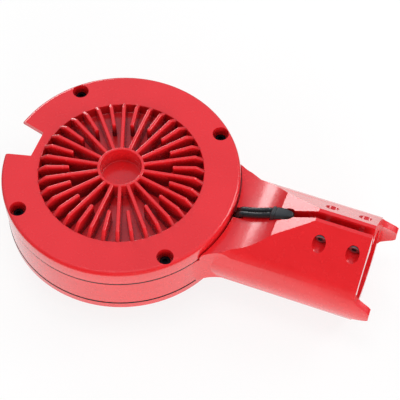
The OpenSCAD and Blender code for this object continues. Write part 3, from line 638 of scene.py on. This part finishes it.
class HEAD_OT_base(bpy.types.Operator):
    """Base cover with the intake grille"""
    bl_idname = "head.base"
    bl_label = "Base cover"

    def execute(self, context):
        width = context.scene.head_sizes.small_edge
        mesh = soften(cad_copy("base_cover"), width, segments=2, limit=40)
        to_object("base_shell", mesh, "coat", stands_for=["base_cover"])
        return {"FINISHED"}


class HEAD_OT_joints(bpy.types.Operator):
    """Edges of the two gaskets: the sheet rubber bulges where the castings press on it"""
    bl_idname = "head.joints"
    bl_label = "Gasket edges"

    def execute(self, context):
        beads = []
        for gasket, drop, rise in ((5.2, 0.5, 1.2), (29.0, 0.9, 0.7)):
            low, high = gasket - drop, gasket + rise
            ring = lathe([(73.6, low), (74.7, low), (75.05, low + 0.2), (75.18, gasket),
                          (75.18, gasket + 0.4), (75.05, high - 0.2), (74.7, high), (73.6, high)])
            beads.append(combine(ring, [air_mouth_cutter(-1, PLATE_Z)]))
        beads = to_object("gasket_edges", shaded(merge(beads)), "sheet_rubber")
        return {"FINISHED"}


class HEAD_OT_screws(bpy.types.Operator):
    """Cover screws: black socket heads sunk in their recesses"""
    bl_idname = "head.screws"
    bl_label = "Cover screws"

    def execute(self, context):
        screw = socket_head(12.5, 4.0, 7.0, 4.0)
        screw.transform(Matrix.Translation((SCREW_R / 1000, 0, SEAT_Z / 1000)))
        made = round_drum(screw, 4, 45, "black_steel")
        to_object("cover_screw_set", made, "black_steel", stands_for=["cover_screws"])
        return {"FINISHED"}


class HEAD_OT_clamp(bpy.types.Operator):
    """Clamp screws across the slit, plain oiled steel"""
    bl_idname = "head.clamp"
    bl_label = "Clamp screws"

    def execute(self, context):
        screws = []
        lying = Matrix.Rotation(math.pi / 2, 4, "X")
        for x in (154.9, 133.9):
            screw = socket_head(16.8, 4.0, 7.0, 4.0)
            screw.transform(Matrix.Translation(mm(x, -6.4, 51.6)) @ lying)
            screws.append(screw)
        to_object("clamp_screw_pair", merge(screws), "plain_steel", stands_for=["clamp_screws"])
        return {"FINISHED"}


def lead_route():
    """Points (x, z, heading) of the lead: through the wall, up, along the saddle and down."""
    def bend(cx, cz, radius, start, end):
        steps, side = 12, 90 if end > start else -90
        return [(x, z, start + (end - start) * i / steps + side)
                for i, (x, z) in enumerate(arc(cx, cz, radius, start, end, steps))]

    return ([(67.2, 23.4, 0)] + bend(73.0, 28.95, 5.55, -90, 0)
            + bend(84.1, 33.53, 5.55, 180, 107.94) + bend(63, 98.7, 62.95, -72.06, -55.965)[1:]
            + bend(99.89, 44.08, 2.96, 124.035, 0)[1:] + [(102.85, 28.4, -90)])


class HEAD_OT_lead(bpy.types.Operator):
    """Flat twin lead that lies along the saddle"""
    bl_idname = "head.lead"
    bl_label = "Lead"

    def execute(self, context):
        # Two round cores side by side, each a lobe of the outline
        radius, pitch, steps = 1.85, 3.33, 13
        lobe = 180 - math.degrees(math.acos(pitch / 2 / radius))
        outline = []
        for middle, first in ((pitch / 2, -lobe), (-pitch / 2, 180 - lobe)):
            for i in range(steps):
                turn = math.radians(first + 2 * lobe * i / steps)
                outline.append((middle + radius * math.cos(turn), radius * math.sin(turn)))
        rings = []
        for x, z, heading in lead_route():
            s, c = math.sin(math.radians(heading)), math.cos(math.radians(heading))
            rings.append([mm(x - up * s, y, z + up * c) for y, up in outline])
        mesh = shaded(loft(rings, "lead"), 60)
        to_object("twin_lead", mesh, "lead", stands_for=["power_lead"])
        return {"FINISHED"}


class HEAD_OT_boot(bpy.types.Operator):
    """Moulded boot: a collar round the lead, then a body that narrows to a blunt nose"""
    bl_idname = "head.boot"
    bl_label = "Lead boot"

    def execute(self, context):
        foot, steps = 44.1, 32
        # Place along the neck, height of the crown, half width
        stations = (
            (99.64, 49.6, 3.3), (99.9, 50.3, 3.85), (100.3, 50.65, 4.05), (101.5, 51.0, 4.08),
            (101.9, 50.95, 4.0), (102.05, 50.6, 3.7), (102.45, 50.6, 3.7), (102.6, 51.0, 3.95),
            (103.2, 51.2, 4.0), (105.0, 51.6, 3.95), (107.0, 52.1, 3.75), (109.0, 52.5, 3.4),
            (111.0, 52.8, 2.95), (112.4, 52.7, 2.5), (113.2, 52.2, 1.95), (113.58, 51.4, 1.2))
        rings = []
        for x, crown, half in stations:
            ring = []
            for i in range(steps):
                turn = 2 * math.pi * (i + 0.5) / steps
                c, s = math.cos(turn), math.sin(turn)
                # Powers below 1 square the round section off
                y = half * math.copysign(abs(c) ** 0.55, c)
                z = (crown + foot) / 2 + (crown - foot) / 2 * math.copysign(abs(s) ** 0.6, s)
                ring.append(mm(x, y, z))
            rings.append(ring)
        mesh = shaded(loft(rings, "boot"), 70)
        to_object("lead_boot_moulding", mesh, "boot", stands_for=["lead_boot"])
        return {"FINISHED"}


class HEAD_OT_small_parts(bpy.types.Operator):
    """Block and sleeves in the socket, nuts, base screws and scroll, with broken edges"""
    bl_idname = "head.small_parts"
    bl_label = "Small parts"

    def execute(self, context):
        for node, finish in {"contact_block": "black_plastic", "contact_sleeves": "brass",
                             "clamp_nuts": "black_zinc", "base_screws": "black_steel",
                             "scroll_liner": "black_plastic"}.items():
            width = context.scene.head_sizes.small_edge * 0.6
            mesh = soften(cad_copy(node), width, segments=2, limit=40)
            to_object(node + "_finished", mesh, finish, stands_for=[node])
        return {"FINISHED"}


class HEAD_OT_finishes(bpy.types.Operator):
    """Finishes of the solids that are shown as they are"""
    bl_idname = "head.finishes"
    bl_label = "Finishes"

    def execute(self, context):
        for node, finish in {
                "cover_gasket": "sheet_rubber", "base_gasket": "sheet_rubber",
                "terminal_block": "green_plastic", "drive_board": "board", "board_screws": "zinc",
                "thermal_pad": "gap_pad", "stator_core": "laminated",
                "stator_windings": "winding", "upper_bearing": "ground_steel",
                "lower_bearing": "ground_steel", "motor_shaft": "ground_steel",
                "shaft_clip": "spring", "rotor_bell": "pressed_steel", "rotor_magnets": "magnet",
                "fan_wheel": "black_plastic", "fan_screws": "zinc",
                "intake_filter": "foam"}.items():
            slots = NODES[node].material_slots
            for slot in slots:
                slot.material = finish_named(finish)
            if not slots:
                raise RuntimeError("no material slot on " + node)
        return {"FINISHED"}


def seen_directly(tree):
    """1 for what the camera sees straight on, in a reflection or through glass."""
    path = add(tree, "ShaderNodeLightPath").outputs
    seen = add(tree, "ShaderNodeMath", {0: path["Is Camera Ray"], 1: path["Is Glossy Ray"]},
               operation="MAXIMUM")
    return add(tree, "ShaderNodeMath", {0: seen.outputs[0], 1: path["Is Transmission Ray"]},
               operation="MAXIMUM").outputs[0]


def white_sweep(colour):
    """Matt white paper: keeps about a sixth of the shadow that falls on it. Gloss finds it
    darker away from the middle of the table."""
    material, tree, surface, place = start_material("matt_white_paper", Roughness=0.9)
    surface["Base Color"].default_value = colour
    middle = mm(45, 20, 0)
    away = add(tree, "ShaderNodeVectorMath", {0: place, 1: (middle.x, middle.y, -0.04)},
               operation="DISTANCE").outputs["Value"]
    fall = add(tree, "ShaderNodeMapRange", {
        "Value": away, "From Min": 0.13, "From Max": 0.25, "To Min": 1.0, "To Max": 0.1}).outputs[0]
    direct = add(tree, "ShaderNodeLightPath").outputs["Is Camera Ray"]
    level = add(tree, "ShaderNodeMath", {0: fall, 1: direct}, operation="MAXIMUM").outputs[0]
    glow = add(tree, "ShaderNodeEmission", {"Color": (1, 1, 1, 1), "Strength": level})
    own_light = 0.83
    share = add(tree, "ShaderNodeMath", {0: seen_directly(tree), 1: own_light},
                operation="MULTIPLY")
    paper = tree.nodes["Principled BSDF"].outputs[0]
    add(tree, "ShaderNodeMixShader", {0: share.outputs[0], 1: paper, 2: glow.outputs[0]},
        into=tree.nodes["Material Output"].inputs["Surface"])
    return material


class HEAD_OT_stage(bpy.types.Operator):
    """Floor, soft lights and the camera"""
    bl_idname = "head.stage"
    bl_label = "Studio"

    def execute(self, context):
        scene = context.scene
        low = CAD_BOX[0].z - scene.head_sizes.floor_drop
        mesh = bpy.data.meshes.new("floor")
        side = 3.0
        corners = [(-side, -side, low), (side, -side, low), (side, side, low), (-side, side, low)]
        mesh.from_pydata(corners, [], [(0, 1, 2, 3)])
        floor = bpy.data.objects.new("studio_floor", mesh)
        context.collection.objects.link(floor)
        mesh.materials.append(white_sweep(tuple(scene.head_colours.floor)))

        world = bpy.data.worlds.new("studio")
        scene.world = world
        world.use_nodes = True
        tree = world.node_tree
        light = tree.nodes["Background"]
        light.inputs["Color"].default_value = (1, 1, 1, 1)
        light.inputs["Strength"].default_value = 0.5
        # Gloss sees a cool grey ceiling, a dark room round the table and a dark flag in front of
        # it; the camera sees white
        way = add(tree, "ShaderNodeTexCoord").outputs["Generated"]
        parts = add(tree, "ShaderNodeSeparateXYZ", {0: way}).outputs
        flag = add(tree, "ShaderNodeMapRange", {
            "Value": parts["Y"], "From Min": -0.7, "From Max": -0.1, "To Min": 0.12, "To Max": 1.0})
        room = add(tree, "ShaderNodeMapRange", {
            "Value": parts["Z"], "From Min": 0.1, "From Max": 0.3, "To Min": 0.08, "To Max": 0.56})
        dim = add(tree, "ShaderNodeMath", {0: flag.outputs[0], 1: room.outputs[0]},
                  operation="MULTIPLY")
        camera_sees = add(tree, "ShaderNodeLightPath").outputs["Is Camera Ray"]
        level = add(tree, "ShaderNodeMath", {0: dim.outputs[0], 1: camera_sees},
                    operation="MAXIMUM")
        tint = add(tree, "ShaderNodeValToRGB", {"Fac": camera_sees},
                   stops=[(0.0, (0.82, 0.92, 1.12, 1)), (1.0, (1, 1, 1, 1))])
        white = add(tree, "ShaderNodeBackground", {
            "Color": tint.outputs["Color"], "Strength": level.outputs[0]})
        add(tree, "ShaderNodeMixShader", {
            0: seen_directly(tree), 1: light.outputs[0], 2: white.outputs[0]},
            into=tree.nodes["World Output"].inputs["Surface"])

        # Place from the middle and size in metres, power in watts, and whether gloss shows it
        middle = mm(45, 0, 10)
        for name, offset, size, power, in_gloss in (
                ("key", (-0.1, 0.05, 1.31), (0.45, 0.45), 3.7, False),
                ("low_front", (0.7, -1.1, 0.45), (0.8, 0.5), 8.2, False),
                ("back_strip", (-0.68, 0.73, 0.44), (0.46, 0.24), 2.6, True),
                ("right_strip", (0.69, 0.56, 0.66), (0.5, 0.3), 2.5, True)):
            lamp = bpy.data.lights.new(name, "AREA")
            lamp.shape, lamp.energy = "RECTANGLE", power
            lamp.size, lamp.size_y = size
            holder = bpy.data.objects.new(name, lamp)
            context.collection.objects.link(holder)
            holder.location = middle + Vector(offset)
            holder.rotation_euler = (-Vector(offset)).to_track_quat("-Z", "Y").to_euler()
            holder.visible_glossy = in_gloss

        azimuth, elevation, distance = math.radians(20.62), math.radians(56.98), 0.8644
        aim = mm(44.7, 22.0, 0)
        level_part = math.cos(elevation)
        back = Vector((math.sin(azimuth) * level_part, -math.cos(azimuth) * level_part,
                       math.sin(elevation)))
        data = bpy.data.cameras.new("camera")
        data.sensor_width, data.lens = 36.0, 118.4
        camera = bpy.data.objects.new("camera", data)
        context.collection.objects.link(camera)
        camera.location = aim + back * distance
        camera.rotation_euler = (-back).to_track_quat("-Z", "Y").to_euler()
        scene.camera = camera
        scene.view_settings.view_transform = "Standard"
        return {"FINISHED"}


class HEAD_PT_panel(bpy.types.Panel):
    bl_idname = "HEAD_PT_panel"
    bl_label = "Blower head"
    bl_space_type = "VIEW_3D"
    bl_region_type = "UI"
    bl_category = "Blower head"

    def draw(self, context):
        column = self.layout.column()
        for group in (context.scene.head_sizes, context.scene.head_colours):
            for key in group.__annotations__:
                column.prop(group, key)
        for operator in OPERATORS:
            column.operator(operator.bl_idname)


OPERATORS = (
    HEAD_OT_stage, HEAD_OT_casting, HEAD_OT_cover, HEAD_OT_fins, HEAD_OT_base, HEAD_OT_joints,
    HEAD_OT_screws, HEAD_OT_clamp, HEAD_OT_lead, HEAD_OT_boot, HEAD_OT_small_parts,
    HEAD_OT_finishes)
CLASSES = (HeadSizes, HeadColours) + OPERATORS + (HEAD_PT_panel,)


def register():
    for made in CLASSES:
        bpy.utils.register_class(made)
    bpy.types.Scene.head_sizes = bpy.props.PointerProperty(type=HeadSizes)
    bpy.types.Scene.head_colours = bpy.props.PointerProperty(type=HeadColours)


def unregister():
    del bpy.types.Scene.head_colours
    del bpy.types.Scene.head_sizes
    for made in reversed(CLASSES):
        bpy.utils.unregister_class(made)


def main():
    register()
    for operator in OPERATORS:
        group, name = operator.bl_idname.split(".")
        getattr(getattr(bpy.ops, group), name)()


if __name__ == "__main__":
    main()
